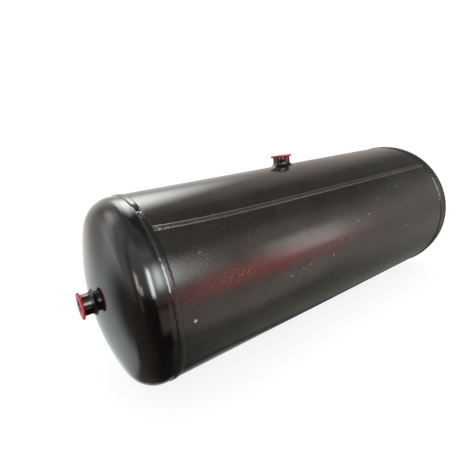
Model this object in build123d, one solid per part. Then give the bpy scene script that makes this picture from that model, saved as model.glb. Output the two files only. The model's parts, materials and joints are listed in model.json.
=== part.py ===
"""Welded steel air receiver for a vehicle's compressed-air system, as an assembly of separate solids.

A rolled shell with one butt seam is closed by two torispherical heads. Each head has a joggled
skirt that slips inside the shell and backs the girth weld. Four threaded bosses, on the shell's
crown, on its back below the middle, and at the pole of each head, are set into their walls, fillet
welded, and closed for transport by ribbed push-in caps. A bracket welded to the back of the shell
carries a blank data plate on four rivets.

Millimetres. +X runs along the tank, +Z up through the crown port. The origin is under the middle
of the tank, on the surface that the girth welds rest on. One STEP file per sub-part.
"""

import os
from math import atan2, cos, degrees, radians, sin, sqrt

from build123d import *

# shell and heads
SHELL_R = 138.0  # outside radius
WALL = 3.0
TANGENT_X = 316.0  # middle of the tank to the tangent line of each head
CROWN_R = 345.0  # outside crown radius of a head
KNUCKLE_R = 38.6  # outside knuckle radius of a head
HEAD_FLANGE = 5.5  # straight flange of a head, tangent line to bevelled edge
SKIRT_LENGTH = 22.0  # tangent line to the end of the joggled skirt
SKIRT_CLEARANCE = 0.1  # between the skirt and the inside of the shell

# welds: gap is a groove's width at the outer surface, root its width at the inner one
GIRTH_GAP, GIRTH_ROOT = 6.0, 2.6
GIRTH_WIDTH, GIRTH_PROUD = 10.0, 1.2
SEAM_GAP, SEAM_ROOT = 5.4, 1.6
SEAM_WIDTH, SEAM_PROUD = 8.0, 1.0
SEAM_ROOT_WIDTH, SEAM_ROOT_PROUD = 3.0, 0.6
SEAM_ANGLE = -45.0  # from the crown, negative towards -Y

# threaded bosses, M22 x 1.5; heights are above the outer surface of the wall
BOSS_R = 15.0
BOSS_TOP = 15.5
BOSS_INSIDE = 3.0  # how far a boss stands out of the wall's inner surface
BOSS_HOLE_CLEARANCE = 0.1
BOSS_EDGE = 0.8
THREAD_MINOR_R = 10.188
LEAD_IN_R, LEAD_IN_DEPTH = 11.3, 6.0  # plain recess ahead of the first thread
PORT_WELD_LEG = 6.0
PORT_WELD_WAIST = 2.3  # from the middle of the concave face to the boss, and to the wall
PORT_WELD_TRIM = 2.4  # how far the blank reaches below a flat wall before it is trimmed
DRAIN_ANGLE = 135.0  # opposite the seam, so that condensate never stands on it

# transport caps
CAP_R, CAP_THICKNESS, CAP_ROUND = 19.0, 3.0, 0.9
CAP_CLEARANCE = 0.1  # under the flange, and round the stub
CAP_STUB_LENGTH = 5.4
CAP_HOLLOW_R, CAP_HOLLOW_DEPTH = 8.6, 6.6
CAP_RIBS, CAP_NOTCH_R = 32, 0.8

# data plate and its bracket; heights are above the shell
PLATE_X, PLATE_ANGLE = 150.0, 50.0
BRACKET_LENGTH, BRACKET_WIDTH, BRACKET_SHEET = 96.0, 60.0, 2.0
BRACKET_TOP = 8.0
BRACKET_BEND_R = 3.0
BRACKET_WELD_LEG = 3.0
BRACKET_WELD_SHORT = 4.0  # how far each bead stops short of the bracket's ends
PLATE_LENGTH, PLATE_WIDTH, PLATE_SHEET = 84.0, 44.0, 0.8
PLATE_CORNER_R = 3.0
RIVET_R, RIVET_HEAD_R, RIVET_TAIL_R, RIVET_HEAD_HEIGHT = 1.6, 3.0, 2.5, 1.1
RIVET_INSET = 4.5  # rivet axis to the plate's edges

AXIS_Z = SHELL_R + GIRTH_PROUD
INNER_R = SHELL_R - WALL
SKIRT_R = INNER_R - SKIRT_CLEARANCE
GIRTH_TAPER = (GIRTH_GAP - GIRTH_ROOT) / 2
HEAD_EDGE_X = TANGENT_X - HEAD_FLANGE
SHELL_END_X = HEAD_EDGE_X - GIRTH_GAP
GIRTH_X = (HEAD_EDGE_X + SHELL_END_X) / 2
KNUCKLE_CENTRE = (TANGENT_X, SHELL_R - KNUCKLE_R)
HEAD_DEPTH = CROWN_R - sqrt((CROWN_R - KNUCKLE_R) ** 2 - KNUCKLE_CENTRE[1] ** 2)
POLE_X = TANGENT_X + HEAD_DEPTH
CROWN_CENTRE = (POLE_X - CROWN_R, 0)
CROWN_ANGLE = degrees(atan2(KNUCKLE_CENTRE[1], KNUCKLE_CENTRE[0] - CROWN_CENTRE[0]))

CROWN_PORT = Pos(0, 0, SHELL_R)
DRAIN_PORT = Rot(-DRAIN_ANGLE, 0, 0) * Pos(0, 0, SHELL_R)
FRONT_PORT = Pos(-POLE_X, 0, 0) * Rot(0, -90, 0)
REAR_PORT = Pos(POLE_X, 0, 0) * Rot(0, 90, 0)
SEAM = Rot(-SEAM_ANGLE, 0, 0)  # local z runs out from the axis through the seam
PLATE = Pos(PLATE_X, 0, 0) * Rot(-PLATE_ANGLE, 0, 0) * Pos(0, 0, SHELL_R)


def about_x(edges):
    """Sweep a closed outline of (x, radius) about the tank's axis."""
    return revolve(Plane.XZ * make_face(edges), Axis.X, 360)


def about_z(edges):
    """Sweep a closed outline of (radius, height) about a port's axis."""
    return revolve(Plane.XZ * make_face(edges), Axis.Z, 360)


def along_x(edges, length):
    """Extrude a closed outline of (y, z) to both sides along the tank."""
    return extrude(Plane.YZ * make_face(edges), length / 2, both=True)


def closed(*points):
    return Polyline(*points, close=True).edges()


def open_run(*points):
    return Polyline(*points).edges()


def on_circle(centre, radius, angle):
    return (
        centre[0] + radius * cos(radians(angle)),
        centre[1] + radius * sin(radians(angle)),
    )


def outer_tube():
    return Rot(0, 90, 0) * Cylinder(SHELL_R, 4 * POLE_X)


def head_arcs(inset):
    """Knuckle and crown of a head at the given depth below its outer surface."""
    knuckle, crown = KNUCKLE_R - inset, CROWN_R - inset
    start = on_circle(KNUCKLE_CENTRE, knuckle, 90)
    knuckle_middle = on_circle(KNUCKLE_CENTRE, knuckle, (90 + CROWN_ANGLE) / 2)
    meeting = on_circle(KNUCKLE_CENTRE, knuckle, CROWN_ANGLE)
    crown_middle = on_circle(CROWN_CENTRE, crown, CROWN_ANGLE / 2)
    return [
        ThreePointArc(start, knuckle_middle, meeting),
        ThreePointArc(meeting, crown_middle, (POLE_X - inset, 0)),
    ]


def rear_head_solid():
    """Everything within a head's outer surface, back to its tangent line."""
    back = open_run((POLE_X, 0), (TANGENT_X, 0), (TANGENT_X, SHELL_R))
    return about_x([*head_arcs(0), *back])


def port_cutter():
    return Cylinder(BOSS_R + BOSS_HOLE_CLEARANCE, 4 * BOSS_R)


def rear_head():
    """Crown, knuckle, a short straight flange, and the joggled skirt that backs the weld."""
    skirt_end_x = TANGENT_X - SKIRT_LENGTH
    skirt_inner_r = SKIRT_R - WALL
    skirt = open_run(
        (TANGENT_X, SHELL_R),
        (HEAD_EDGE_X, SHELL_R),
        (HEAD_EDGE_X - GIRTH_TAPER, SKIRT_R),
        (skirt_end_x, SKIRT_R),
        (skirt_end_x, skirt_inner_r),
        (HEAD_EDGE_X, skirt_inner_r),
        (TANGENT_X, INNER_R),
    )
    pole = Line((POLE_X, 0), (POLE_X - WALL, 0))
    whole = about_x([*skirt, *head_arcs(0), pole, *head_arcs(WALL)])
    return whole - REAR_PORT * port_cutter()


def shell_blank():
    """The closed tube, bevelled at both ends for the girth welds."""
    inner_end_x = SHELL_END_X + GIRTH_TAPER
    return about_x(
        closed(
            (-SHELL_END_X, SHELL_R),
            (SHELL_END_X, SHELL_R),
            (inner_end_x, INNER_R),
            (-inner_end_x, INNER_R),
        )
    )


def seam_groove():
    """The tapered gap between the two edges of the rolled sheet."""
    over = 1.0
    taper = (SEAM_GAP - SEAM_ROOT) / 2 * over / WALL
    half_outer = SEAM_GAP / 2 + taper
    half_inner = SEAM_ROOT / 2 - taper
    section = closed(
        (-half_outer, SHELL_R + over),
        (half_outer, SHELL_R + over),
        (half_inner, INNER_R - over),
        (-half_inner, INNER_R - over),
    )
    return SEAM * along_x(section, 2 * TANGENT_X)


def shell():
    ports = [CROWN_PORT * port_cutter(), DRAIN_PORT * port_cutter()]
    return shell_blank() - seam_groove() - ports


def seam_bead(radius, width, rise, length):
    """Lens between a round wall and the flatter arc that a bead's face makes over it."""
    toe_z = sqrt(radius**2 - width**2 / 4)
    left, right = (-width / 2, toe_z), (width / 2, toe_z)
    section = [
        ThreePointArc(left, (0, radius), right),
        ThreePointArc(right, (0, radius + rise), left),
    ]
    return SEAM * along_x(section, length)


def longitudinal_weld():
    """The filled groove, its cap outside, and the root bead inside between the two skirts."""
    cap_end_x = GIRTH_X - GIRTH_WIDTH / 2
    root_end_x = TANGENT_X - SKIRT_LENGTH - WALL
    filling = seam_groove() & shell_blank()
    cap_bead = seam_bead(SHELL_R, SEAM_WIDTH, SEAM_PROUD, 2 * cap_end_x)
    root_bead = seam_bead(INNER_R, SEAM_ROOT_WIDTH, -SEAM_ROOT_PROUD, 2 * root_end_x)
    return filling + cap_bead + root_bead


def rear_girth_weld():
    """The ring that fills the groove, with a low cap over both edges."""
    shell_toe_x, head_toe_x = GIRTH_X - GIRTH_WIDTH / 2, GIRTH_X + GIRTH_WIDTH / 2
    face = ThreePointArc(
        (head_toe_x, SHELL_R), (GIRTH_X, SHELL_R + GIRTH_PROUD), (shell_toe_x, SHELL_R)
    )
    groove = open_run(
        (shell_toe_x, SHELL_R),
        (SHELL_END_X, SHELL_R),
        (SHELL_END_X + GIRTH_TAPER, INNER_R),
        (SHELL_END_X + GIRTH_TAPER, SKIRT_R),
        (HEAD_EDGE_X - GIRTH_TAPER, SKIRT_R),
        (HEAD_EDGE_X, SHELL_R),
        (head_toe_x, SHELL_R),
    )
    return about_x([face, *groove])


def boss():
    """In its port's frame: z = 0 is the outer surface of the wall."""
    bottom = -WALL - BOSS_INSIDE
    recess_bottom = BOSS_TOP - LEAD_IN_DEPTH
    return about_z(
        closed(
            (THREAD_MINOR_R + BOSS_EDGE, bottom),
            (BOSS_R, bottom),
            (BOSS_R, BOSS_TOP - BOSS_EDGE),
            (BOSS_R - BOSS_EDGE, BOSS_TOP),
            (LEAD_IN_R + BOSS_EDGE / 2, BOSS_TOP),
            (LEAD_IN_R, BOSS_TOP - BOSS_EDGE / 2),
            (LEAD_IN_R, recess_bottom),
            (THREAD_MINOR_R, recess_bottom - (LEAD_IN_R - THREAD_MINOR_R)),
            (THREAD_MINOR_R, bottom + BOSS_EDGE),
        )
    )


def port_weld_blank():
    """Concave fillet round a boss, reaching below the wall so that its toe can follow it."""
    top, toe = (BOSS_R, PORT_WELD_LEG), (BOSS_R + PORT_WELD_LEG, 0)
    waist = (BOSS_R + PORT_WELD_WAIST, PORT_WELD_WAIST)
    below = open_run(
        toe,
        (BOSS_R + PORT_WELD_LEG + PORT_WELD_TRIM / 2, -PORT_WELD_TRIM),
        (BOSS_R, -PORT_WELD_TRIM),
        top,
    )
    return about_z([ThreePointArc(top, waist, toe), *below])


def cap():
    """Round flange with a ribbed rim, and a hollow stub that pushes into the boss's plain recess."""
    low = BOSS_TOP + CAP_CLEARANCE
    middle, high = low + CAP_THICKNESS / 2, low + CAP_THICKNESS
    flange = Pos(0, 0, middle) * Cylinder(CAP_R, CAP_THICKNESS)
    flange = fillet(flange.edges().filter_by(GeomType.CIRCLE), CAP_ROUND)
    notch = Pos(CAP_R, 0, middle) * Cylinder(CAP_NOTCH_R, 2 * CAP_THICKNESS)
    notches = [Rot(0, 0, i * 360 / CAP_RIBS) * notch for i in range(CAP_RIBS)]
    stub = Pos(0, 0, low - CAP_STUB_LENGTH / 2) * Cylinder(
        LEAD_IN_R - CAP_CLEARANCE, CAP_STUB_LENGTH
    )
    stub = chamfer(stub.edges().group_by(Axis.Z)[0], BOSS_EDGE)
    hollow = Pos(0, 0, high - CAP_HOLLOW_DEPTH / 2) * Cylinder(CAP_HOLLOW_R, CAP_HOLLOW_DEPTH)
    return flange - notches + stub - hollow


def rivet_places():
    """Where the rivets cross the bracket's top, in the plate's frame."""
    x, y = PLATE_LENGTH / 2 - RIVET_INSET, PLATE_WIDTH / 2 - RIVET_INSET
    return [Pos(i * x, j * y, BRACKET_TOP) for i in (-1, 1) for j in (-1, 1)]


def rivet_holes():
    return [place * Cylinder(RIVET_R, 4 * BRACKET_SHEET) for place in rivet_places()]


def data_plate_bracket():
    """A sheet folded down at both long edges, its feet cut to the round of the shell."""
    depth = BRACKET_TOP + BRACKET_WIDTH
    outside = Pos(0, 0, BRACKET_TOP - depth / 2) * Box(BRACKET_LENGTH, BRACKET_WIDTH, depth)
    outside = fillet(outside.edges().filter_by(Axis.X).group_by(Axis.Z)[-1], BRACKET_BEND_R)
    inside = Pos(0, 0, BRACKET_TOP - BRACKET_SHEET - depth / 2) * Box(
        2 * BRACKET_LENGTH, BRACKET_WIDTH - 2 * BRACKET_SHEET, depth
    )
    bends = inside.edges().filter_by(Axis.X).group_by(Axis.Z)[-1]
    inside = fillet(bends, BRACKET_BEND_R - BRACKET_SHEET)
    return PLATE * (outside - inside - rivet_holes()) - outer_tube()


def data_plate():
    middle = BRACKET_TOP + PLATE_SHEET / 2
    sheet = Pos(0, 0, middle) * Box(PLATE_LENGTH, PLATE_WIDTH, PLATE_SHEET)
    sheet = fillet(sheet.edges().filter_by(Axis.Z), PLATE_CORNER_R)
    return PLATE * (sheet - rivet_holes())


def data_plate_rivets():
    """Four dome-headed rivets, upset under the bracket."""
    ball_r = (RIVET_HEAD_R**2 + RIVET_HEAD_HEIGHT**2) / (2 * RIVET_HEAD_HEIGHT)
    ball = Pos(0, 0, PLATE_SHEET + RIVET_HEAD_HEIGHT - ball_r) * Sphere(ball_r)
    head_middle = PLATE_SHEET + RIVET_HEAD_HEIGHT / 2
    head = ball & Pos(0, 0, head_middle) * Cylinder(RIVET_HEAD_R + 1, RIVET_HEAD_HEIGHT)
    grip = PLATE_SHEET + BRACKET_SHEET
    shank = Pos(0, 0, PLATE_SHEET - grip / 2) * Cylinder(RIVET_R, grip)
    tail_middle = -BRACKET_SHEET - RIVET_HEAD_HEIGHT / 2
    tail = Pos(0, 0, tail_middle) * Cylinder(RIVET_TAIL_R, RIVET_HEAD_HEIGHT)
    rivet = head + shank + tail
    return Compound(children=[PLATE * place * rivet for place in rivet_places()])


def bracket_welds():
    """A fillet bead along the foot of each folded edge."""
    foot_y = BRACKET_WIDTH / 2
    foot_z = sqrt(SHELL_R**2 - foot_y**2) - SHELL_R
    length = BRACKET_LENGTH - 2 * BRACKET_WELD_SHORT
    beads = []
    for side in (-1, 1):
        inner_y, outer_y = side * foot_y, side * (foot_y + BRACKET_WELD_LEG)
        section = closed(
            (inner_y, foot_z + BRACKET_WELD_LEG),
            (outer_y, foot_z),
            (outer_y, foot_z - BRACKET_WELD_LEG),
            (inner_y, foot_z - BRACKET_WELD_LEG),
        )
        beads.append((PLATE * along_x(section, length) - outer_tube()).solid())
    return Compound(children=beads)


def port_nodes(name, place, wall):
    return {
        f"{name}_port_boss": place * boss(),
        f"{name}_port_weld": place * port_weld_blank() - wall,
        f"{name}_port_cap": place * cap(),
    }


def tank_nodes():
    """Every sub-part by node name, with the tank's axis still on the X axis."""
    head, girth_weld, head_wall = rear_head(), rear_girth_weld(), rear_head_solid()
    return {
        "shell": shell(),
        "longitudinal_weld": longitudinal_weld(),
        "front_head": mirror(head, Plane.YZ),
        "rear_head": head,
        "front_girth_weld": mirror(girth_weld, Plane.YZ),
        "rear_girth_weld": girth_weld,
        **port_nodes("crown", CROWN_PORT, outer_tube()),
        **port_nodes("drain", DRAIN_PORT, outer_tube()),
        **port_nodes("front", FRONT_PORT, mirror(head_wall, Plane.YZ)),
        **port_nodes("rear", REAR_PORT, head_wall),
        "data_plate_bracket": data_plate_bracket(),
        "bracket_welds": bracket_welds(),
        "data_plate": data_plate(),
        "data_plate_rivets": data_plate_rivets(),
    }


os.makedirs("parts", exist_ok=True)
for node, shape in tank_nodes().items():
    export_step(Pos(0, 0, AXIS_Z) * shape, f"parts/{node}.step")
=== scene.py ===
"""Looks of the welded air receiver tank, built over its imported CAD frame.

Each steel and plastic solid is replaced by a finer mesh with the same outline: rippled weld beads,
a hand-welded start on the near girth weld, screw threads in the bosses, ribbed caps and a blank
data plate. Metres, in the frame of the CAD: +X along the tank, +Z up through the crown port.
"""

import json
import math

import bmesh
import bpy
import numpy as np
from mathutils import Matrix, Vector


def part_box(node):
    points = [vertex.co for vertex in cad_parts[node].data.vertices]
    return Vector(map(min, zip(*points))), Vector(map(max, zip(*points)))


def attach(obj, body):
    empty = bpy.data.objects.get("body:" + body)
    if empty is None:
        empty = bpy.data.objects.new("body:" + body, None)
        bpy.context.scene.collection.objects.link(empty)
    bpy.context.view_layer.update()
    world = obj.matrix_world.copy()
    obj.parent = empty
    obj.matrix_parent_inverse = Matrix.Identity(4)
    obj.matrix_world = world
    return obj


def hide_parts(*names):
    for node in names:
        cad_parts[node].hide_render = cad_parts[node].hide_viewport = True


MM = 0.001

# shell and heads, as in the CAD
SHELL_R = 138.0 * MM
WALL = 3.0 * MM
TANGENT_X = 316.0 * MM  # where the knuckle of a head meets its straight flange
CROWN_R = 345.0 * MM
KNUCKLE_R = 38.6 * MM
HEAD_FLANGE = 5.5 * MM
HEAD_EDGE_X = TANGENT_X - HEAD_FLANGE
JOGGLE_SLOPE = 1.7 * MM  # length over which the flange steps down into the skirt
SKIRT_END_X = TANGENT_X - 22.0 * MM
SKIRT_R = SHELL_R - WALL - 0.1 * MM
GIRTH_GAP = 6.0 * MM
SHELL_END_X = HEAD_EDGE_X - GIRTH_GAP

# unevenness of rolled and pressed sheet
SHEET_WAVE = 0.10 * MM
WELD_PULL = 0.25 * MM  # how far the welds draw the sheet in
GIRTH_PULL_REACH = 9 * MM
SEAM_PULL_REACH = 14 * MM
DIE_RING_HEIGHT = 0.12 * MM
DIE_RING_SIZE = 2.4 * MM

# the straight weld along the shell
SEAM_ANGLE = math.radians(45)  # from the crown towards -Y
SEAM_HALF = 4.0 * MM
SEAM_PROUD = 1.25 * MM
SEAM_CROWN = 3.0  # the higher, the flatter a bead's top and the steeper its sides
SEAM_SECTIONS = 1500
SEAM_ROUGH_REACH = 22 * MM  # rough start at the front end
SEAM_LUMP_HEIGHT = 0.55 * MM
SEAM_OFFSET = -3.2 * MM  # middle of the bead from the joint's angle, far from the front end
SEAM_VEER, SEAM_VEER_REACH = 7.5 * MM, 70 * MM  # and how it veers off towards that end

# the welds between shell and heads
GIRTH_X = HEAD_EDGE_X - GIRTH_GAP / 2
GIRTH_HALF = 5.0 * MM
GIRTH_PROUD = 1.1 * MM
GIRTH_CROWN = 5.0
GIRTH_BEVEL = ((0, 0.50, 0.92, 1), (1, 0.97, 0.30, 0))  # across and height, towards the head
GIRTH_STEPS, GIRTH_SEGMENTS = 30, 2600
MOTTLE_HEIGHT = 0.055 * MM
CRATER = (-12 * MM, 4 * MM, 9 * MM)  # start, deepest point and end, along the bead from its stop
CRATER_DEPTH = 2.2 * MM
RESTART, RESTART_REACH = 15 * MM, 7 * MM  # the lumps where the weld was started again
RESTART_HEIGHT, RESTART_LUMP_HEIGHT = 0.30 * MM, 0.45 * MM
EDGE_SWAY, RESTART_SWAY = 0.14 * MM, 0.6 * MM  # wandering of the bead's two edges
RIPPLE_PITCH = 2.1 * MM  # of the fillet welds
SMOOTH_BEAD = 60  # degrees between faces up to which a bead is shaded smooth

# ports: heights are above the outer surface of the wall
BOSS_R = 15.0 * MM
BOSS_TOP = 15.5 * MM
BOSS_BOTTOM = -6.0 * MM
BOSS_EDGE = 0.8 * MM
BORE_MIDDLE = 1.594 * MM  # where the record states a port's mount
THREAD_MINOR_R = 10.188 * MM
THREAD_PITCH = 1.5 * MM
THREAD_DEPTH = 0.8 * MM
RECESS_R = 11.3 * MM
RECESS_DEPTH = 6.0 * MM
PORT_WELD_LEG = 6.0 * MM
PORT_HOLE_R = BOSS_R + 0.1 * MM  # in the wall, round a boss
CAP_R = 19.0 * MM
CAP_THICKNESS = 3.0 * MM
CAP_STUB_R = 11.2 * MM
CAP_STUB_LENGTH = 5.4 * MM
CAP_WELL_R = 8.6 * MM
CAP_WELL_DEPTH = 6.6 * MM
CAP_RIBS = 32
CAP_NOTCH_DEPTH = 0.7 * MM
CAP_NOTCH_HALF = 1.1 * MM

# data plate
PLATE_ANGLE = math.radians(50)  # from the crown towards +Y
PLATE_X = 150.0 * MM
BRACKET_SIZE = (96.0 * MM, 60.0 * MM)
BRACKET_TOP = 8.0 * MM
BRACKET_SHEET = 2.0 * MM
BRACKET_BEND = 3.0 * MM
BRACKET_WELD_LEG = 3.0 * MM
PLATE_SIZE = (84.0 * MM, 44.0 * MM)
PLATE_SHEET = 0.8 * MM
FIELD_HEIGHT, FIELD_LINE = 0.18 * MM, 0.5 * MM
RIVET_INSET = 4.5 * MM
RIVET_R, RIVET_HEAD_R, RIVET_TAIL_R, RIVET_END = 1.6 * MM, 3.0 * MM, 2.5 * MM, 1.1 * MM

PORTS = ("crown", "drain", "front", "rear")

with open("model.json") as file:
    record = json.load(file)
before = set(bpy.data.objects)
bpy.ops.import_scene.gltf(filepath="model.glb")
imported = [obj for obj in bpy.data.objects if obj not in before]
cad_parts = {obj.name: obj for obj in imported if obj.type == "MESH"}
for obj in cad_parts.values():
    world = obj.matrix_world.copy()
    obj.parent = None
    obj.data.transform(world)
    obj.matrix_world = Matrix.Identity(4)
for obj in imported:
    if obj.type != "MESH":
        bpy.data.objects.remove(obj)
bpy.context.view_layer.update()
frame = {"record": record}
AXIS_Z = (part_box("shell")[0][2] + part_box("shell")[1][2]) / 2


# ---------------------------------------------------------------- meshes


def arc(centre, radius, start, end, steps):
    """Points on a circle from start to end, in degrees, both included."""
    turns = np.radians(np.linspace(start, end, steps + 1))
    return [(centre[0] + radius * math.cos(t), centre[1] + radius * math.sin(t)) for t in turns]


def between(start, end, steps):
    """Points on a line, without its two ends."""
    return [
        (start[0] + (end[0] - start[0]) * i / steps, start[1] + (end[1] - start[1]) * i / steps)
        for i in range(1, steps)
    ]


def smooth_wave(seed, *coordinates):
    """Smooth values from about -1 to 1 without a visible period."""
    total = 0.0
    for order in range(1, 5):
        phase = seed * 1.7 + order * 2.3
        for axis, values in enumerate(coordinates):
            rate = (1.0 + 0.37 * axis) * order * (0.61 + 0.17 * math.sin(seed + order + axis))
            phase = phase + values * rate
        total = total + np.sin(phase) / order
    return total / 2.1


def make_object(name, points, faces, sharp=35):
    """A smooth-shaded object with outward faces and merged poles."""
    mesh = bpy.data.meshes.new(name)
    mesh.from_pydata([tuple(p) for p in points], [], faces)
    work = bmesh.new()
    work.from_mesh(mesh)
    bmesh.ops.remove_doubles(work, verts=work.verts, dist=1e-7)
    bmesh.ops.recalc_face_normals(work, faces=work.faces)
    work.to_mesh(mesh)
    work.free()
    mesh.shade_smooth()
    mesh.set_sharp_from_angle(angle=math.radians(sharp))
    made = bpy.data.objects.new(name, mesh)
    bpy.context.scene.collection.objects.link(made)
    return made


def wrapped_faces(rows, columns, wrap_columns):
    """Quads over a grid whose last row joins the first."""
    faces = []
    for i in range(rows):
        below = (i + 1) % rows
        for j in range(columns if wrap_columns else columns - 1):
            right = (j + 1) % columns
            faces.append(
                (i * columns + j, i * columns + right, below * columns + right, below * columns + j)
            )
    return faces


def turned(name, profile, segments, place=Matrix(), shape=None, sharp=35):
    """Profile points (radius, height) turned about local z.

    A profile that starts on the axis also ends on it; any other is closed into a ring.
    shape(angle, radius, height) gives the radius and height that the points really have.
    """
    radius, height = np.array(profile, float).T
    angle = np.linspace(0, 2 * math.pi, segments, endpoint=False)[:, None] * np.ones(len(profile))
    radius, height = radius + 0 * angle, height + 0 * angle
    if shape:
        radius, height = shape(angle, radius, height)
    local = np.stack([radius * np.cos(angle), radius * np.sin(angle), height], axis=-1)
    points = [place @ Vector(p) for p in local.reshape(-1, 3)]
    faces = wrapped_faces(segments, len(profile), wrap_columns=profile[0][0] > 0)
    return make_object(name, points, faces, sharp)


def drawn_out(name, sections, place=Matrix(), sharp=35):
    """Closed outlines of points (y, z), in pairs (x, outline), joined and capped at the ends."""
    points, count = [], len(sections[0][1])
    for x, outline in sections:
        points += [place @ Vector((x, y, z)) for y, z in outline]
    faces = []
    for i in range(len(sections) - 1):
        for j in range(count):
            right = (j + 1) % count
            faces.append(
                (i * count + j, i * count + right, (i + 1) * count + right, (i + 1) * count + j)
            )
    faces.append(tuple(range(count)))
    faces.append(tuple(range((len(sections) - 1) * count, len(sections) * count)))
    return make_object(name, points, faces, sharp)


def apply_modifiers(obj):
    """Swap an object's mesh for the one its modifiers make."""
    ready = obj.evaluated_get(bpy.context.evaluated_depsgraph_get())
    mesh = bpy.data.meshes.new_from_object(ready)
    obj.modifiers.clear()
    obj.data = mesh


def drill(obj, places, radius, depth):
    """Cut round holes through an object along the local z of each place."""
    for place in places:
        cutter = turned(
            "cutter", [(0, -depth), (radius, -depth), (radius, depth), (0, depth)], 96, place
        )
        cut = obj.modifiers.new("hole", "BOOLEAN")
        cut.operation, cut.solver, cut.object = "DIFFERENCE", "EXACT", cutter
        apply_modifiers(obj)
        bpy.data.objects.remove(cutter)


# ---------------------------------------------------------------- places

ALONG = Matrix.Translation((0, 0, AXIS_Z)) @ Matrix.Rotation(math.pi / 2, 4, "Y")  # z to +X


def port_places():
    """Each port's frame: z out of the port, z = 0 on the outer surface of the wall."""
    places = {}
    for mount in frame["record"]["mounts"]:
        name = mount["name"].removesuffix("_port")
        if name in PORTS:
            axis = Vector(mount["axis"]).normalized()
            along = Vector((1, 0, 0)) if abs(axis.x) < 0.5 else Vector((0, 1, 0))
            across = axis.cross(along)
            place = Matrix((along, across, axis)).transposed().to_4x4()
            place.translation = Vector(mount["pos_m"]) - axis * BORE_MIDDLE
            places[name] = place
    return places


PLACES = port_places()


# ---------------------------------------------------------------- shell and heads


def dented(seed, amount):
    """A shape for turned() that leaves rolled or pressed sheet very slightly uneven."""

    def shape(angle, radius, height):
        around = smooth_wave(seed, 5 * np.cos(angle), 5 * np.sin(angle), 16 * height)
        outside = radius > 0.05
        return radius + np.where(outside, amount * around, 0), height

    return shape


def shell_shape(angle, radius, height):
    """Slight waviness, and the pull of the girth welds and the seam on the sheet."""
    radius, height = dented(3, SHEET_WAVE)(angle, radius, height)
    to_end = SHELL_END_X - np.abs(height)
    girth_pull = WELD_PULL * np.exp(-to_end / GIRTH_PULL_REACH)
    seam = math.pi + SEAM_ANGLE
    off_seam = np.abs((angle - seam + math.pi) % (2 * math.pi) - math.pi) * SHELL_R
    seam_pull = WELD_PULL * np.exp(-((off_seam / SEAM_PULL_REACH) ** 2))
    return radius - girth_pull - seam_pull, height


def build_shell():
    """The rolled sheet, as a tube drilled for the crown and drain ports."""
    outer_start, outer_end = (SHELL_R, -SHELL_END_X), (SHELL_R, SHELL_END_X)
    inner = SHELL_R - WALL
    profile = [
        outer_start,
        *between(outer_start, outer_end, 150),
        outer_end,
        (inner, SHELL_END_X),
        *between((inner, SHELL_END_X), (inner, -SHELL_END_X), 12),
        (inner, -SHELL_END_X),
    ]
    shell = turned("shell_plate", profile, 360, ALONG, shell_shape)
    drill(shell, [PLACES["crown"], PLACES["drain"]], PORT_HOLE_R, 3 * BOSS_R)
    return shell


def head_profile():
    """(radius, height) with the head's axis along +z, from the boss hole round and back."""
    knuckle_centre_r = SHELL_R - KNUCKLE_R
    reach = math.sqrt((CROWN_R - KNUCKLE_R) ** 2 - knuckle_centre_r**2)
    crown_z = TANGENT_X - reach
    meet = math.degrees(math.atan2(reach, knuckle_centre_r))

    def surface(inset, crown_steps, knuckle_steps):
        hole = math.degrees(math.acos(PORT_HOLE_R / (CROWN_R - inset)))
        crown = arc((0, crown_z), CROWN_R - inset, hole, meet, crown_steps)
        knuckle = arc((knuckle_centre_r, TANGENT_X), KNUCKLE_R - inset, meet, 0, knuckle_steps)
        return crown + knuckle[1:]

    outer, inner = surface(0, 44, 36), surface(WALL, 16, 12)
    edge = [
        *between((SHELL_R, TANGENT_X), (SHELL_R, HEAD_EDGE_X), 3),
        (SHELL_R, HEAD_EDGE_X),
        (SKIRT_R, HEAD_EDGE_X - JOGGLE_SLOPE),
        (SKIRT_R, SKIRT_END_X),
        (SKIRT_R - WALL, SKIRT_END_X),
        (SKIRT_R - WALL, HEAD_EDGE_X),
    ]
    return outer + edge + inner[::-1]


def head_shape(seed):
    """Slight unevenness of a pressed head, with the drawing rings of the die on its knuckle."""

    def shape(angle, radius, height):
        radius, height = dented(seed, SHEET_WAVE)(angle, radius, height)
        down_meridian = (height - radius) / DIE_RING_SIZE
        rings = smooth_wave(seed + 1, down_meridian, 1.5 * np.cos(angle), 1.5 * np.sin(angle))
        on_knuckle = np.clip((radius - 90 * MM) / (25 * MM), 0, 1)
        return radius + DIE_RING_HEIGHT * rings * on_knuckle, height

    return shape


def build_head(name, seed, outward):
    """outward is 1 for the rear head, -1 for the front one."""
    turn = Matrix.Rotation(0 if outward > 0 else math.pi, 4, "Y")
    place = Matrix.Translation((0, 0, AXIS_Z)) @ turn @ Matrix.Rotation(math.pi / 2, 4, "Y")
    return turned(name, head_profile(), 360, place, head_shape(seed))


# ---------------------------------------------------------------- welds


def ripples(along, across, pitch, seed):
    """Height from 0 to 1 of the crescent ridges left on a weld bead, across being -1 to 1."""
    drift = 0.35 * smooth_wave(seed, along / (9 * MM))
    phase = along / pitch + 0.55 * (1 - across**2) + drift
    saw = phase % 1
    ridge = np.where(saw < 0.75, saw / 0.75, (1 - saw) / 0.25)
    uneven = 0.75 + 0.25 * smooth_wave(seed + 5, along / (2.6 * MM), across * 2)
    return ridge * uneven


def bead_outline(half, proud, ripple, shift, steps=18):
    """(across, height above the axis) over a bead on the shell, and back under it."""
    outline = []
    for i in range(steps + 1):
        across = -1 + 2 * i / steps
        face = proud * (1 - abs(across) ** SEAM_CROWN) + ripple(across)
        offset = half * across + shift
        outline.append((offset, math.sqrt(SHELL_R**2 - offset**2) + face))
    under = SHELL_R - 0.9 * MM
    return outline + [(half + shift, under), (-half + shift, under)]


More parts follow.
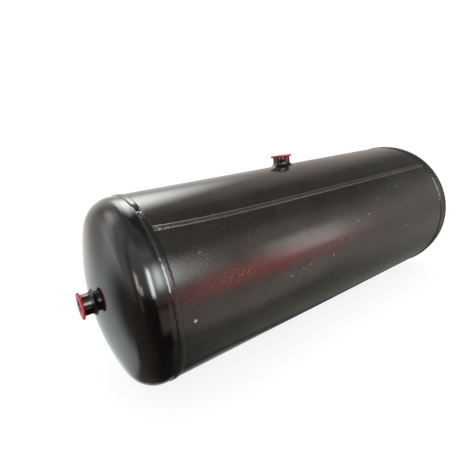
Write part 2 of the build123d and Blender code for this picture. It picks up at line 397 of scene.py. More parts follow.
def seam_section(x, from_front):
    """The outline of the seam's bead at one place along it."""
    rough = math.exp(-((from_front / SEAM_ROUGH_REACH) ** 2))
    half = SEAM_HALF + 0.16 * MM * smooth_wave(11, x / (7 * MM)) + rough * 0.5 * MM
    proud = SEAM_PROUD * (1 + 0.1 * smooth_wave(12, x / (12 * MM)))

    def ripple(across):
        fine = 0.10 * MM * ripples(x, across, 1.9 * MM, 13)
        lumps = smooth_wave(14, x / (1.1 * MM), 3.5 * across) * (1 - across**4)
        return float(fine + rough * SEAM_LUMP_HEIGHT * lumps)

    shift = 0.12 * MM * float(smooth_wave(15, x / (30 * MM)))
    shift += SEAM_OFFSET + SEAM_VEER * math.exp(-from_front / SEAM_VEER_REACH)
    return bead_outline(float(half), float(proud), ripple, shift)


def build_seam_weld():
    """The straight bead along the shell, rough for the last few centimetres at the front."""
    end_x = GIRTH_X - GIRTH_HALF + 1.0 * MM
    sections = []
    for i in range(SEAM_SECTIONS + 1):
        from_front = 2 * end_x * i / SEAM_SECTIONS
        x = -end_x + from_front
        sections.append((x, seam_section(x, from_front)))
    place = Matrix.Translation((0, 0, AXIS_Z)) @ Matrix.Rotation(SEAM_ANGLE, 4, "X")
    return drawn_out("seam_bead", sections, place, SMOOTH_BEAD)


def girth_profile(side):
    """(radius, height) over a girth bead, bevelled towards the head, and back under it."""
    profile = []
    for i in range(GIRTH_STEPS + 1):
        across = math.sin(math.pi * (i / GIRTH_STEPS - 0.5))
        if across * side > 0:
            height = float(np.interp(abs(across), *GIRTH_BEVEL))
        else:
            height = 1 - abs(across) ** GIRTH_CROWN
        profile.append((SHELL_R + GIRTH_PROUD * height, side * GIRTH_X + GIRTH_HALF * across))
    under = SHELL_R - 1.2 * MM
    return profile + [
        (under, side * GIRTH_X + GIRTH_HALF),
        (under, side * GIRTH_X - GIRTH_HALF),
    ]


def mottling(around, across, seed):
    """Fine uneven lumps of a bead run by hand."""
    lumps = smooth_wave(seed + 3, around / (0.45 * MM), 9 * across)
    lumps = lumps + smooth_wave(seed + 9, around / (0.80 * MM), -12 * across)
    return lumps * (0.7 + 0.3 * smooth_wave(seed + 6, around / (3 * MM)))


def coarse_lumps(around, across, seed):
    """The larger lumps where a bead was started again."""
    lumps = smooth_wave(seed + 4, around / (0.7 * MM), 6 * across)
    return lumps + smooth_wave(seed + 8, around / (0.9 * MM), -5 * across)


def build_girth_weld(name, side, seed, stop_angle, ragged):
    """A mottled ring bead, side being 1 at the rear and -1 at the front.

    ragged, from 0 to 1, scales the crater at stop_angle and the lumps of the restart after it.
    """

    def shape(angle, radius, height):
        along = angle * SHELL_R
        around = np.abs(angle - math.pi) * SHELL_R
        across = (height - side * GIRTH_X) / GIRTH_HALF
        on_face = (radius >= SHELL_R - 0.01 * MM) * (1 - np.clip(np.abs(across), 0, 1) ** 6)
        off_bevel = np.clip((0.75 - across * side) / 0.25, 0.25, 1)
        past_stop = ((angle - stop_angle + math.pi) % (2 * math.pi) - math.pi) * SHELL_R
        crater = ragged * np.interp(past_stop, CRATER, (0, 1, 0))
        restart = ragged * np.exp(-(((past_stop - RESTART) / RESTART_REACH) ** 2))
        rise = 0.06 * MM * ripples(along, across, 2.41 * MM, seed)
        rise = rise + MOTTLE_HEIGHT * off_bevel * mottling(around, across, seed)
        rise = rise + RESTART_LUMP_HEIGHT * restart * coarse_lumps(around, across, seed)
        rise = rise + RESTART_HEIGHT * restart - CRATER_DEPTH * crater
        edge = np.sin(angle * 37 + seed) + np.sin(angle * 83 + 2 * seed)
        sway = EDGE_SWAY * edge + RESTART_SWAY * restart * np.sin(past_stop / (2.2 * MM))
        return radius + rise * on_face, height + sway * across * side

    return turned(name, girth_profile(side), GIRTH_SEGMENTS, ALONG, shape, SMOOTH_BEAD)


def fillet_profile(inner_r, leg, steps=12):
    """(radius, height) of a concave fillet round a tube, closed a little inside both walls."""
    face = []
    for i in range(steps + 1):
        turn = math.radians(90 * i / steps)
        along_wall, up_tube = 1 - math.cos(turn) ** 1.3, 1 - math.sin(turn) ** 1.3
        face.append((inner_r + leg * along_wall, leg * up_tube))
    below, behind = -0.8 * MM, inner_r - 0.3 * MM
    closing = [(inner_r + leg - 0.4 * MM, below), (behind, below), (behind, leg - 0.3 * MM)]
    return (face + closing)[::-1]


def build_port_weld(name, place, wall_radius, on_tube, seed):
    """A concave fillet round a boss whose toe follows the wall."""
    leg = PORT_WELD_LEG

    def shape(angle, radius, height):
        along = angle * (BOSS_R + leg / 2)
        share = np.clip((radius - BOSS_R) / leg, 0, 1)
        on_face = (radius >= BOSS_R - 0.01 * MM) & (height > -0.01 * MM)
        ridge = 0.16 * MM * ripples(along, 2 * share - 1, RIPPLE_PITCH, seed)
        ridge = np.where(on_face, ridge * np.sin(math.pi * np.clip(share, 0.08, 0.92)), 0)
        sway = 0.35 * MM * smooth_wave(seed + 1, 2.5 * np.cos(angle), 2.5 * np.sin(angle))
        radius = radius + 0.5 * ridge + sway * share
        across = radius * np.sin(angle) if on_tube else radius
        drop = np.sqrt(wall_radius**2 - across**2) - wall_radius
        sunk = drop * np.clip(1.15 - 0.25 * height / leg, 0.9, 1.0)
        return radius, height + sunk + ridge

    return turned(name, fillet_profile(BOSS_R, leg), 420, place, shape, SMOOTH_BEAD)


# ---------------------------------------------------------------- ports


def thread_shape(angle, radius, height):
    """Cut a screw thread into the straight part of the bore."""
    below_recess, run_out = 1.1 * MM, 0.8 * MM
    top, bottom = BOSS_TOP - RECESS_DEPTH - below_recess, BOSS_BOTTOM + BOSS_EDGE
    on_bore = np.abs(radius - THREAD_MINOR_R) < 0.01 * MM
    turn = (height / THREAD_PITCH - angle / (2 * math.pi)) % 1
    groove = np.clip(1.35 * (1 - 2 * np.abs(turn - 0.5)) - 0.15, 0, 1)
    ends = np.clip((top - height) / run_out, 0, 1) * np.clip((height - bottom) / run_out, 0, 1)
    return radius + np.where(on_bore, THREAD_DEPTH * groove * ends, 0), height


def build_boss(name, place):
    """The outside up to the top edge is painted; the face, recess and thread are bare."""
    edge, step = BOSS_EDGE, RECESS_R - THREAD_MINOR_R
    recess_bottom = BOSS_TOP - RECESS_DEPTH
    bore_top = (THREAD_MINOR_R, recess_bottom - step)
    bore_bottom = (THREAD_MINOR_R, BOSS_BOTTOM + edge)
    profile = [
        *arc((BOSS_R - edge, BOSS_BOTTOM + edge), edge, -90, 0, 4),
        (BOSS_R, 2 * MM),
        (BOSS_R, 8 * MM),
        *arc((BOSS_R - edge, BOSS_TOP - edge), edge, 0, 90, 5),
        (RECESS_R + 1.5 * MM, BOSS_TOP),
        (RECESS_R + 0.4 * MM, BOSS_TOP),
        (RECESS_R, BOSS_TOP - 0.4 * MM),
        (RECESS_R, BOSS_TOP - 3 * MM),
        (RECESS_R, recess_bottom),
        bore_top,
        *between(bore_top, bore_bottom, 110),
        bore_bottom,
        (THREAD_MINOR_R + edge, BOSS_BOTTOM),
    ]
    return turned(name, profile, 128, place, thread_shape)


def cap_profile():
    """From the middle of the well, over the flange, down the stub and back to the axis."""
    low, high = BOSS_TOP + 0.1 * MM, BOSS_TOP + 0.1 * MM + CAP_THICKNESS
    stub_end, well = low - CAP_STUB_LENGTH, high - CAP_WELL_DEPTH
    rim, lip, chamfer = 0.9 * MM, 0.5 * MM, 0.8 * MM
    bead_r, bead = CAP_WELL_R + 2.9 * MM, 0.45 * MM
    return [
        (0, well),
        (0.5 * CAP_WELL_R, well),
        *arc((CAP_WELL_R - lip, well + lip), lip, -90, 0, 4),
        (CAP_WELL_R, well + 3 * MM),
        *arc((CAP_WELL_R + lip, high - lip), lip, 180, 90, 5),
        (CAP_WELL_R + 2.2 * MM, high),
        *arc((bead_r, high + 0.02 * MM), bead, 205, 335, 6),
        (CAP_R - 5 * MM, high),
        (CAP_R - 3 * MM, high),
        *arc((CAP_R - rim, high - rim), rim, 90, 0, 6),
        (CAP_R, (low + high) / 2),
        *arc((CAP_R - rim, low + rim), rim, 0, -90, 6),
        (CAP_R - 3 * MM, low),
        (CAP_STUB_R + 1.2 * MM, low),
        (CAP_STUB_R, low - 0.1 * MM),
        (CAP_STUB_R, stub_end + 2 * MM),
        (CAP_STUB_R, stub_end + chamfer),
        (CAP_STUB_R - chamfer, stub_end),
        (CAP_STUB_R - 3.5 * MM, stub_end),
        (0, stub_end),
    ]


def rib_shape(angle, radius, height):
    """Round notches between the grip ribs of a cap's rim."""
    pitch = 2 * math.pi / CAP_RIBS
    off_notch = np.abs((angle + pitch / 2) % pitch - pitch / 2) * CAP_R
    depth = CAP_NOTCH_DEPTH * np.clip(1 - (off_notch / CAP_NOTCH_HALF) ** 2, 0, 1)
    at_rim = np.clip((radius - (CAP_R - 2.2 * MM)) / (1.4 * MM), 0, 1)
    return radius - depth * at_rim, height


def build_cap(name, place):
    """A push-in transport cap with a ribbed rim."""
    return turned(name, cap_profile(), CAP_RIBS * 14, place, rib_shape, sharp=50)


# ---------------------------------------------------------------- data plate

PLATE_PLACE = (
    Matrix.Translation((PLATE_X, 0, AXIS_Z))
    @ Matrix.Rotation(-PLATE_ANGLE, 4, "X")
    @ Matrix.Translation((0, 0, SHELL_R))
)


def build_bracket():
    """Sheet folded down at both long edges, on the round of the shell."""
    half_y, sheet, bend = BRACKET_SIZE[1] / 2, BRACKET_SHEET, BRACKET_BEND
    foot_z = math.sqrt(SHELL_R**2 - half_y**2) - SHELL_R + 0.2 * MM
    outer = arc((half_y - bend, BRACKET_TOP - bend), bend, 0, 90, 8)
    inner = arc((half_y - bend, BRACKET_TOP - bend), bend - sheet, 90, 0, 8)
    right = [(half_y, foot_z), *outer]
    left = [(-y, z) for y, z in reversed(right)]
    inner_right = [*inner, (half_y - sheet, foot_z)]
    inner_left = [(-y, z) for y, z in reversed(inner_right)]
    outline = right + left + inner_left + inner_right
    half_x = BRACKET_SIZE[0] / 2
    stations = [(x, outline) for x in (-half_x, -half_x / 2, 0, half_x / 2, half_x)]
    bracket = drawn_out("plate_bracket", stations, PLATE_PLACE)
    soften(bracket, 0.3 * MM)
    return bracket


def soften(obj, width):
    """Round the sharp edges of a sheet-metal piece."""
    bevel = obj.modifiers.new("edges", "BEVEL")
    bevel.width, bevel.segments, bevel.limit_method = width, 3, "ANGLE"
    bevel.angle_limit = math.radians(50)
    apply_modifiers(obj)
    obj.data.shade_smooth()
    obj.data.set_sharp_from_angle(angle=math.radians(35))


def foot_bead_outline(side, x, share_to_end):
    """(y, z) of the bead along one foot of the bracket, shrinking to nothing at its ends."""
    foot_y, end = BRACKET_SIZE[1] / 2, 1 - abs(share_to_end) ** 30
    leg = BRACKET_WELD_LEG * end
    ridge = 0.22 * MM * float(ripples(x, 0.0, RIPPLE_PITCH, 31 + side))
    face = []
    for step in range(7):
        share = step / 6
        swell = 0.7 * (ridge + 0.35 * MM) * math.sin(math.pi * share) * end
        y = foot_y + leg * share + swell
        on_shell = math.sqrt(SHELL_R**2 - y**2) - SHELL_R
        face.append((y, on_shell + leg * (1 - share) + swell))
    toe_y, below, behind = face[-1][0], face[-1][1] - 0.8 * MM, foot_y - 0.3 * MM
    outline = face + [(toe_y, below), (behind, below), (behind, face[0][1])]
    return [(side * y, z) for y, z in outline]


def build_bracket_welds():
    """A rippled fillet bead along each foot of the bracket."""
    half_x, count, beads = BRACKET_SIZE[0] / 2 - 4 * MM, 260, []
    for side in (-1, 1):
        stations = []
        for i in range(count + 1):
            share_to_end = 2 * i / count - 1
            x = half_x * share_to_end
            stations.append((x, foot_bead_outline(side, x, share_to_end)))
        beads.append(drawn_out(f"bracket_bead_{len(beads)}", stations, PLATE_PLACE, SMOOTH_BEAD))
    return beads


def rounded_rectangle(width, height, corner, steps=6):
    """Points (x, y) round a rectangle about the origin."""
    points = []
    for i, (sx, sy) in enumerate(((1, 1), (-1, 1), (-1, -1), (1, -1))):
        centre = (sx * (width / 2 - corner), sy * (height / 2 - corner))
        points += arc(centre, corner, 90 * i, 90 * i + 90, steps)
    return points


def build_data_plate():
    """A thin plate with rounded corners and no lettering; its raised border and empty fields are
    built on their own.
    """
    outline = rounded_rectangle(*PLATE_SIZE, 3 * MM)
    bottom, top = BRACKET_TOP, BRACKET_TOP + PLATE_SHEET
    count = len(outline)
    points = [(x, y, bottom) for x, y in outline] + [(x, y, top) for x, y in outline]
    faces = [tuple(range(count)), tuple(range(count, 2 * count))]
    faces += [(i, (i + 1) % count, count + (i + 1) % count, count + i) for i in range(count)]
    plate = make_object("blank_plate", [PLATE_PLACE @ Vector(p) for p in points], faces)
    soften(plate, 0.15 * MM)
    return plate


def build_plate_fields():
    """Raised outlines of the border and of three empty fields."""
    low = BRACKET_TOP + PLATE_SHEET - 0.1 * MM
    high = BRACKET_TOP + PLATE_SHEET + FIELD_HEIGHT
    section = ((0, low), (0, high), (FIELD_LINE, high), (FIELD_LINE, low))  # (inset, z)
    fields = [(0, 66 * MM, 38 * MM)]
    fields += [(y * MM, 58 * MM, 7.5 * MM) for y in (-11, 0, 11)]
    frames = []
    for middle_y, width, height in fields:
        rings = []
        for inset, z in section:
            ring = rounded_rectangle(width - 2 * inset, height - 2 * inset, 1.2 * MM)
            rings.append([PLATE_PLACE @ Vector((x, middle_y + y, z)) for x, y in ring])
        points = [point for across in zip(*rings) for point in across]
        faces = wrapped_faces(len(rings[0]), len(section), wrap_columns=True)
        frames.append(make_object(f"plate_field_{len(frames)}", points, faces))
    return frames


def build_rivets():
    """Domed heads above the plate and upset tails under the bracket."""
    top, under, end = BRACKET_TOP + PLATE_SHEET, BRACKET_TOP - BRACKET_SHEET, RIVET_END
    head = [(0, top + end)]
    head += [
        (RIVET_HEAD_R * math.sin(t), top + end * math.cos(t)) for t in np.linspace(0.2, 1.5, 9)
    ]
    head += [(RIVET_HEAD_R, top), (RIVET_R, top)]
    tail = [(RIVET_R, under), (RIVET_TAIL_R, under), (RIVET_TAIL_R, under - 0.9 * MM)]
    tail += [(RIVET_TAIL_R - 0.3 * MM, under - end), (0, under - end)]
    rivets = []
    for i, x in enumerate((-1, 1)):
        for j, y in enumerate((-1, 1)):
            at = ((PLATE_SIZE[0] / 2 - RIVET_INSET) * x, (PLATE_SIZE[1] / 2 - RIVET_INSET) * y, 0)
            place = PLATE_PLACE @ Matrix.Translation(at)
            rivets.append(turned(f"plate_rivet_{i}{j}", head + tail, 40, place))
    return rivets


# ---------------------------------------------------------------- materials


def node(tree, kind, inputs=None, **properties):
    """Add a node, set its properties, and set or link its inputs."""
    made = tree.nodes.new(kind)
    for key, value in properties.items():
        setattr(made, key, value)
    for key, value in (inputs or {}).items():
        if isinstance(value, bpy.types.NodeSocket):
            tree.links.new(value, made.inputs[key])
        else:
            made.inputs[key].default_value = value
    return made


def maths(tree, operation, first, second=0.0):
    """One step of arithmetic."""
    return node(tree, "ShaderNodeMath", {0: first, 1: second}, operation=operation).outputs[0]


def noise(tree, where, size, detail=2.0, roughness=0.5, stretch=None):
    """Noise from 0 to 1 whose features are about size metres across."""
    if stretch:
        where = node(tree, "ShaderNodeMapping", {"Vector": where, "Scale": stretch}).outputs[0]
    inputs = {"Vector": where, "Scale": 1 / size, "Detail": detail, "Roughness": roughness}
    return node(tree, "ShaderNodeTexNoise", inputs).outputs["Fac"]


def ramp(tree, value, low, high, bottom=0.0, top=1.0):
    """Value from low to high eased into bottom to top."""
    inputs = {"Value": value, "From Min": low, "From Max": high, "To Min": bottom, "To Max": top}
    made = node(tree, "ShaderNodeMapRange", inputs, interpolation_type="SMOOTHSTEP")
    return made.outputs["Result"]


def mix(tree, share, first, second):
    """A colour from first to second as share goes from 0 to 1."""
    inputs = {"Factor": share, "A": first, "B": second}
    return node(tree, "ShaderNodeMix", inputs, data_type="RGBA").outputs["Result"]


def bump(tree, height, strength, depth, normal=None):
    """A normal that looks as if height, from 0 to 1, were depth metres of relief."""
    inputs = {"Height": height, "Strength": strength, "Distance": depth}
    if normal:
        inputs["Normal"] = normal
    return node(tree, "ShaderNodeBump", inputs).outputs["Normal"]


def new_material(name):
    """A material with only a Principled shader; where is the place on the object."""
    material = bpy.data.materials.new(name)
    material.use_nodes = True
    tree = material.node_tree
    tree.nodes.clear()
    shader = node(tree, "ShaderNodeBsdfPrincipled")
    output = node(tree, "ShaderNodeOutputMaterial")
    tree.links.new(shader.outputs[0], output.inputs[0])
    where = node(tree, "ShaderNodeTexCoord").outputs["Object"]
    return material, tree, shader, where


def set_inputs(tree, shader, **values):
    """Set or link the shader's inputs, named with underscores for spaces."""
    for key, value in values.items():
        socket = shader.inputs[key.replace("_", " ")]
        if isinstance(value, bpy.types.NodeSocket):
            tree.links.new(value, socket)
        else:
            socket.default_value = value


# Linear colours. Pairs are the two ends of a slight variation.
PAINT = ((0.0028, 0.0021, 0.0017, 1), (0.0045, 0.0035, 0.0029, 1))
DUST = (0.31, 0.275, 0.235, 1)
SPECK = (0.55, 0.50, 0.44, 1)
RUBBED = (0.55, 0.52, 0.48, 1)
RED = ((0.36, 0.014, 0.026, 1), (0.46, 0.030, 0.045, 1))
STEEL = ((0.30, 0.29, 0.28, 1), (0.42, 0.41, 0.40, 1))
ALUMINIUM = ((0.56, 0.56, 0.57, 1), (0.70, 0.70, 0.71, 1))
FLOOR = ((0.17, 0.17, 0.17, 1), (0.19, 0.19, 0.19, 1))
FLOOR_GLOW = 0.86  # lifts the lit floor to white and keeps the shadow faint
PLASTIC_IOR = 1.5  # of paint and polyethylene

# Marks on the shell: distance along it and angle from the crown towards -Y, then half length, half
# width and grain size of a rub, or size and colour of a fleck.
PALE, ORANGE = (0.55, 0.55, 0.46, 1), (0.60, 0.36, 0.22, 1)
RUB_STRENGTH, FLECK_STRENGTH = 0.30, 0.6
SPECK_SPACING = 11 * MM
RUBS = (
    (-262 * MM, math.radians(66), 26 * MM, 22 * MM, 2.2 * MM),
    (-215 * MM, math.radians(80), 60 * MM, 16 * MM, 1.8 * MM),
    (-110 * MM, math.radians(91), 75 * MM, 9 * MM, 2.2 * MM),
    (-10 * MM, math.radians(84), 60 * MM, 6 * MM, 2.6 * MM),
    (115 * MM, math.radians(63), 34 * MM, 9 * MM, 2.8 * MM),
    (170 * MM, math.radians(58), 42 * MM, 10 * MM, 3.2 * MM),
)
FLECKS = (
    (-287 * MM, math.radians(95), 4.2 * MM, PALE),
    (-36 * MM, math.radians(90), 2.6 * MM, ORANGE),
    (-88 * MM, math.radians(90), 1.8 * MM, PALE),
    (37 * MM, math.radians(74), 2.0 * MM, PALE),
    (68 * MM, math.radians(72), 2.2 * MM, ORANGE),
    (170 * MM, math.radians(90), 2.2 * MM, PALE),
)


def ellipse(tree, where, x, angle, half_length, half_width):
    """1 in the middle of an ellipse on the shell, falling to 0 at its edge."""
    middle = (x, -SHELL_R * math.sin(angle), AXIS_Z + SHELL_R * math.cos(angle))
    inputs = {
        "Vector": where, "Location": middle, "Rotation": (angle, 0, 0),
        "Scale": (half_length, half_width, half_width),
    }
    local = node(tree, "ShaderNodeMapping", inputs, vector_type="TEXTURE").outputs[0]
    fall = node(tree, "ShaderNodeTexGradient", {"Vector": local}, gradient_type="SPHERICAL")
    return fall.outputs["Fac"]


def rub(tree, where, x, angle, half_length, half_width, grain):
    """Broken pale grain inside an ellipse, drawn out along the tank."""
    inside = ramp(tree, ellipse(tree, where, x, angle, half_length, half_width), 0.0, 0.7)
    grains = noise(tree, where, grain, detail=4, roughness=0.7, stretch=(0.5, 1, 1))
    return maths(tree, "MULTIPLY", inside, ramp(tree, grains, 0.54, 0.72))


def settled_dust(tree, where, grime):
    """Share of the surface under dust, grime on average, in fine grains and soft clouds."""
    grains = ramp(tree, noise(tree, where, 4 * MM, detail=3, roughness=0.6), 0.2, 0.8, 0.5, 1)
    clouds = ramp(tree, noise(tree, where, 60 * MM, detail=3, roughness=0.6), 0.25, 0.8, 0.5, 1)
    return maths(tree, "MULTIPLY", maths(tree, "MULTIPLY", grains, clouds), 1.8 * grime)


def specks(tree, where):
    """1 on small round specks in about one cell out of seven."""
    inputs = {"Vector": where, "Scale": 1 / SPECK_SPACING, "Randomness": 1.0}
    cells = node(tree, "ShaderNodeTexVoronoi", inputs)
    spot = ramp(tree, cells.outputs["Distance"], 0.05, 0.025)
    drawn = node(tree, "ShaderNodeSeparateColor", {"Color": cells.outputs["Color"]}).outputs[0]
    return maths(tree, "MULTIPLY", spot, ramp(tree, drawn, 0.86, 0.88))


def handling_marks(tree, where, color):
    """The color with the shell's rubs and flecks over it."""
    for mark in RUBS:
        share = maths(tree, "MULTIPLY", rub(tree, where, *mark), RUB_STRENGTH)
        color = mix(tree, share, color, RUBBED)
    for x, angle, size, tint in FLECKS:
        spot = ramp(tree, ellipse(tree, where, x, angle, size, 0.8 * size), 0.25, 0.6)
        color = mix(tree, maths(tree, "MULTIPLY", spot, FLECK_STRENGTH), color, tint)
    return color


def black_enamel(name, gloss, grime, peel, marked=False):
    """Black paint on steel, with orange peel, dust and specks.

    gloss is the range of the shader's roughness, grime the mean share of the surface under dust,
    peel scales the relief, and marked adds the shell's own rubs and flecks.
    """
    material, tree, shader, where = new_material(name)
    paint = mix(tree, noise(tree, where, 120 * MM, detail=3), *PAINT)
    dust = settled_dust(tree, where, grime)
    color = mix(tree, dust, paint, DUST)
    color = mix(tree, maths(tree, "MULTIPLY", specks(tree, where), 6 * grime), color, SPECK)
    if marked:
        color = handling_marks(tree, where, color)

    smear = noise(tree, where, 50 * MM, detail=4, roughness=0.65)
    roughness = maths(tree, "ADD", ramp(tree, smear, 0.25, 0.8, *gloss), dust)

    orange_peel = noise(tree, where, 4.2 * MM, detail=2, roughness=0.45)
    grit = noise(tree, where, 0.9 * MM, detail=2)
    normal = bump(tree, orange_peel, 0.2 * peel, 0.2 * MM)
    normal = bump(tree, grit, 0.05 * peel, 0.04 * MM, normal)
    set_inputs(
        tree, shader, Base_Color=color, Roughness=roughness, Normal=normal, IOR=PLASTIC_IOR,
    )
    return material


def red_plastic(name):
    """Moulded polyethylene: slightly waxy, with flow marks and handling marks."""
    material, tree, shader, where = new_material(name)
    flow = noise(tree, where, 12 * MM, detail=3, roughness=0.6)
    handled = noise(tree, where, 3.5 * MM, detail=4, roughness=0.7)
    grain = noise(tree, where, 0.6 * MM, detail=2)
    set_inputs(
        tree, shader, Base_Color=mix(tree, flow, *RED), IOR=PLASTIC_IOR,
        Roughness=ramp(tree, handled, 0.3, 0.75, 0.36, 0.52),
        Normal=bump(tree, grain, 0.15, 0.05 * MM),
        Subsurface_Weight=0.2, Subsurface_Scale=1 * MM,
    )
    return material


def bare_steel(name):
    """Turned mild steel with fine tool marks and a little oil."""
    material, tree, shader, where = new_material(name)
    marks = noise(tree, where, 0.7 * MM, detail=3)
    stain = noise(tree, where, 8 * MM, detail=3)
    set_inputs(
        tree, shader, Base_Color=mix(tree, stain, *STEEL), Metallic=1.0,
        Roughness=ramp(tree, marks, 0.3, 0.7, 0.28, 0.42),
        Normal=bump(tree, marks, 0.2, 0.04 * MM),
    )
    return material


def plate_aluminium(name):
    """Thin aluminium, brushed along the tank."""
    material, tree, shader, where = new_material(name)
    brushed = noise(tree, where, 0.6 * MM, detail=3, stretch=(0.02, 1, 1))
    dull = noise(tree, where, 20 * MM, detail=3)
    set_inputs(
        tree, shader, Base_Color=mix(tree, dull, *ALUMINIUM), Metallic=1.0,
        Roughness=ramp(tree, brushed, 0.3, 0.7, 0.28, 0.40),
        Normal=bump(tree, brushed, 0.25, 0.03 * MM),
    )
    return material


# ---------------------------------------------------------------- assembly


def finish_piece(piece, body, material, replaced=()):
    """Dress a piece, hang it under its body's empty, and hide the CAD nodes it stands for."""
    piece.data.materials.clear()
    piece.data.materials.append(material)
    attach(piece, body)
    if replaced:
        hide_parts(*replaced)


def bare_faces(boss, place, steel):
    """Give the end face, the recess and the thread of a boss the unpainted steel."""
    boss.data.materials.append(steel)
    inverse = place.inverted()
    for face in boss.data.polygons:
        at = inverse @ face.center
        radius = math.hypot(at.x, at.y)
        on_end = at.z > BOSS_TOP - 0.2 * MM and radius < BOSS_R - 1 * MM
        if radius < RECESS_R + 0.2 * MM or on_end:
            face.material_index = 1


def assemble_vessel(shell_paint, head_paint):
    """Shell, heads and the three long welds."""
    girth_paint = black_enamel("girth_enamel", gloss=(0.05, 0.11), grime=0.028, peel=0.7)
    seam_paint = black_enamel("weld_enamel", gloss=(0.08, 0.18), grime=0.10, peel=1.0)
    finish_piece(build_shell(), "tank", shell_paint, ["shell"])
    finish_piece(build_head("front_dome", 7, -1), "tank", head_paint, ["front_head"])
    finish_piece(build_head("rear_dome", 9, 1), "tank", head_paint, ["rear_head"])
    finish_piece(build_seam_weld(), "tank", seam_paint, ["longitudinal_weld"])
    front_weld = build_girth_weld("front_girth_bead", -1, 21, math.radians(207), 1.0)
    finish_piece(front_weld, "tank", girth_paint, ["front_girth_weld"])
    rear_weld = build_girth_weld("rear_girth_bead", 1, 22, math.radians(233), 0.6)
    finish_piece(rear_weld, "tank", girth_paint, ["rear_girth_weld"])
    return seam_paint


def assemble_ports(head_paint):
    """Boss, fillet weld and transport cap of each port."""
    plastic, steel = red_plastic("cap_red"), bare_steel("turned_steel")
    for seed, name in enumerate(PORTS, start=40):
        place, on_tube = PLACES[name], name in ("crown", "drain")
        boss = build_boss(f"{name}_boss", place)
        finish_piece(boss, "tank", head_paint, [f"{name}_port_boss"])
        bare_faces(boss, place, steel)
        wall_radius = SHELL_R if on_tube else CROWN_R
        bead = build_port_weld(f"{name}_boss_bead", place, wall_radius, on_tube, seed)
        finish_piece(bead, "tank", head_paint, [f"{name}_port_weld"])
        cap = build_cap(f"{name}_cap_plug", place)
        finish_piece(cap, f"{name}_cap", plastic, [f"{name}_port_cap"])


def assemble_data_plate(shell_paint, weld_paint):
    """Bracket, its welds, the blank plate and its rivets."""
    aluminium = plate_aluminium("plate_alu")
    finish_piece(build_bracket(), "tank", shell_paint, ["data_plate_bracket"])
    for bead in build_bracket_welds():
        finish_piece(bead, "tank", weld_paint, ["bracket_welds"])
    finish_piece(build_data_plate(), "tank", aluminium, ["data_plate"])
    for field in build_plate_fields():
        finish_piece(field, "tank", aluminium)
    for rivet in build_rivets():
        finish_piece(rivet, "tank", aluminium, ["data_plate_rivets"])


def assemble():
    """Every visible piece of the tank."""
    shell_paint = black_enamel(
        "shell_enamel", gloss=(0.10, 0.16), grime=0.042, peel=0.8, marked=True
    )
    head_paint = black_enamel("head_enamel", gloss=(0.04, 0.09), grime=0.003, peel=0.25)
    weld_paint = assemble_vessel(shell_paint, head_paint)
    assemble_ports(head_paint)
    assemble_data_plate(shell_paint, weld_paint)


# ---------------------------------------------------------------- stage

# The room, seen only in the paint's reflections, as soft-edged panels: azimuth (from -Y towards
# +X) and elevation of the middle, half width, half height, blur of the edge, strength, colour.
WHITE, WARM, COOL = (1.0, 0.99, 0.96), (1.0, 0.86, 0.79), (0.88, 1.0, 0.98)
PANELS = {
    "window": (-5, 23, 27, 12, 9, 4.3, (0.92, 0.99, 1.03)),
    "left_pane": (-22, 19, 6, 15, 4, 14.0, (0.97, 1.0, 0.99)),
    "right_pane": (7, 24, 11, 10, 9, 6.0, (0.94, 1.0, 1.03)),
    "window_sill": (-2, 0, 20, 6, 4, 0.55, WARM),
    "wall_under_window": (2, -24, 20, 13, 7, 0.74, (1.0, 0.82, 0.72)),
    "table_leg": (-70, -6, 8, 8, 4, 0.40, WARM),
    "front_wall": (-30, 32, 50, 26, 10, 0.85, WHITE),
    "second_window": (-69, 12, 7, 8, 4, 6.2, (1.0, 0.94, 0.84)),
    "lamp": (-58, 7, 3, 4, 2, 5.0, (1.0, 0.90, 0.76)),
    "third_window": (-143, 43, 13, 9, 10, 2.0, WHITE),
    "left_column": (-130, 15, 11, 20, 8, 0.8, WHITE),
    "left_wall": (-120, 27, 32, 32, 12, 0.86, (1.0, 1.0, 0.97)),
    "left_floor": (-163, -23, 25, 17, 8, 0.80, COOL),
    "left_carpet": (-120, -25, 55, 40, 20, 0.13, WARM),
    "rear_floor": (158, -42, 24, 12, 10, 0.45, COOL),
    "rear_ceiling": (160, 51, 15, 13, 15, 8.4, (0.97, 0.99, 0.96)),
    "rear_wall": (155, 25, 46, 38, 12, 0.48, (1.0, 0.84, 0.78)),
    "rear_glow": (167, 22, 24, 22, 14, 0.40, COOL),
    "ceiling": (-70, 75, 110, 30, 20, 0.38, WHITE),
    "right_wall": (36, -6, 17, 40, 8, 0.74, WARM),
    "right_door": (62, -4, 16, 25, 14, 0.60, (1.0, 0.95, 0.86)),
    "right_floor": (72, -44, 46, 24, 14, 0.26, (1.0, 0.98, 0.86)),
    "curtain": (23, 22, 5, 14, 6, 0.9, WARM),
    "red_cloth": (34, -4, 13, 10, 9, 1.9, (1.0, 0.0, 0.03)),
    "glass": (44, 6, 5, 9, 4, 3.2, WHITE),
}
UPPER_TONE, LOWER_TONE = (0.20, 0.20, 0.19, 1), (0.02, 0.02, 0.02, 1)  # of the room behind them
BACKDROP = 1.1  # white that the camera sees and that lights dull surfaces


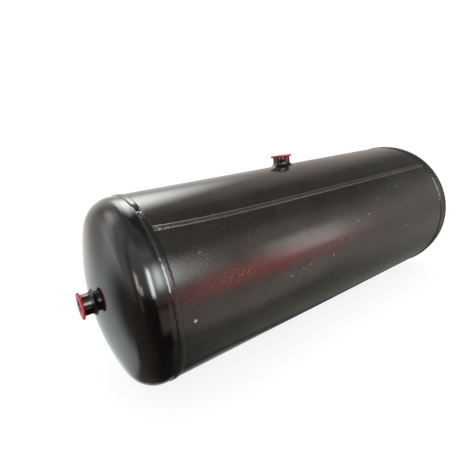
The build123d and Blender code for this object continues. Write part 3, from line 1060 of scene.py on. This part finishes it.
def panel(tree, direction, azimuth, elevation, width, height, blur, strength, color):
    """Light of one soft-edged rectangle of the room."""
    turned_to = node(
        tree, "ShaderNodeVectorRotate",
        {"Vector": direction, "Axis": (0, 0, 1), "Angle": math.radians(90 - azimuth)},
    ).outputs[0]
    axes = node(tree, "ShaderNodeSeparateXYZ", {0: turned_to}).outputs
    up = maths(tree, "SUBTRACT", maths(tree, "ARCSINE", axes[2]), math.radians(elevation))
    share = 1.0
    for off_middle, half in ((maths(tree, "ARCTAN2", axes[1], axes[0]), width), (up, height)):
        near, far = math.radians(max(half - blur, 0)), math.radians(half + blur)
        inside = ramp(tree, maths(tree, "ABSOLUTE", off_middle), near, far, 1.0, 0.0)
        share = maths(tree, "MULTIPLY", share, inside)
    scaled = node(
        tree, "ShaderNodeVectorMath",
        {0: tuple(strength * c for c in color), "Scale": share}, operation="SCALE",
    )
    return scaled.outputs[0]


def build_world():
    """White to the camera, even light on dull surfaces, soft patches in glossy reflections."""
    world = bpy.data.worlds.new("studio")
    world.use_nodes = True
    tree = world.node_tree
    tree.nodes.clear()
    direction = node(tree, "ShaderNodeTexCoord").outputs["Generated"]
    height = node(tree, "ShaderNodeSeparateXYZ", {0: direction}).outputs[2]
    total = mix(tree, ramp(tree, height, -0.25, 0.25), LOWER_TONE, UPPER_TONE)
    for settings in PANELS.values():
        light = panel(tree, direction, *settings)
        total = node(tree, "ShaderNodeVectorMath", {0: total, 1: light}, operation="ADD").outputs[0]
    reflected = node(tree, "ShaderNodeBackground", {"Color": total, "Strength": 1.0}).outputs[0]
    plain = {"Color": (1, 1, 1, 1), "Strength": BACKDROP}
    seen = node(tree, "ShaderNodeBackground", plain).outputs[0]
    path = node(tree, "ShaderNodeLightPath").outputs
    blend = node(tree, "ShaderNodeMixShader", {0: path["Is Glossy Ray"], 1: seen, 2: reflected})
    output = node(tree, "ShaderNodeOutputWorld")
    tree.links.new(blend.outputs[0], output.inputs[0])
    bpy.context.scene.world = world


def build_floor():
    """A wide pale floor, a little brighter than white where nothing shades it."""
    half = 12.0
    corners = [(-half, -half, 0), (half, -half, 0), (half, half, 0), (-half, half, 0)]
    mesh = bpy.data.meshes.new("floor")
    mesh.from_pydata(corners, [], [(0, 1, 2, 3)])
    floor = bpy.data.objects.new("floor", mesh)
    bpy.context.scene.collection.objects.link(floor)
    material, tree, shader, where = new_material("pale_floor")
    color = mix(tree, noise(tree, where, 400 * MM), *FLOOR)
    set_inputs(
        tree, shader, Base_Color=color, Roughness=0.9, Specular_IOR_Level=0.0,
        Emission_Color=(1, 1, 1, 1), Emission_Strength=FLOOR_GLOW,
    )
    mesh.materials.append(material)
    floor.visible_glossy = False


def add_area_light(name, location, target, size, power):
    """A round lamp that reflections don't show."""
    data = bpy.data.lights.new(name, "AREA")
    data.shape, data.size, data.energy = "DISK", size, power
    light = bpy.data.objects.new(name, data)
    light.location = location
    aim = Vector(target) - Vector(location)
    light.rotation_euler = aim.to_track_quat("-Z", "Y").to_euler()
    light.visible_glossy = False
    bpy.context.scene.collection.objects.link(light)


CAMERA_FROM_AXIS = (-448.4 * MM, -483.3 * MM, 183.7 * MM)  # from the middle of the tank's axis
CAMERA_LOOKS = (0.5255, 0.8218, -0.2202)
CAMERA_UP = (0.2267, 0.1142, 0.9672)
CAMERA_LENS, CAMERA_SENSOR = 27.56, 36.0  # as Blender takes them, in millimetres


def build_camera():
    """A camera close to the front end, a little above the tank."""
    data = bpy.data.cameras.new("camera")
    data.lens, data.sensor_width, data.clip_end = CAMERA_LENS, CAMERA_SENSOR, 100.0
    camera = bpy.data.objects.new("camera", data)
    back = -Vector(CAMERA_LOOKS).normalized()
    right = Vector(CAMERA_UP).cross(back).normalized()
    up = back.cross(right)
    place = Matrix((right, up, back)).transposed().to_4x4()
    place.translation = Vector(CAMERA_FROM_AXIS) + Vector((0, 0, AXIS_Z))
    camera.matrix_world = place
    bpy.context.scene.collection.objects.link(camera)
    bpy.context.scene.camera = camera


assemble()
build_world()
build_floor()
add_area_light("overhead", (0.2, -0.3, 2.2), (0, 0, 0), 2.0, 8)
build_camera()
bpy.context.scene.view_settings.view_transform = "Standard"
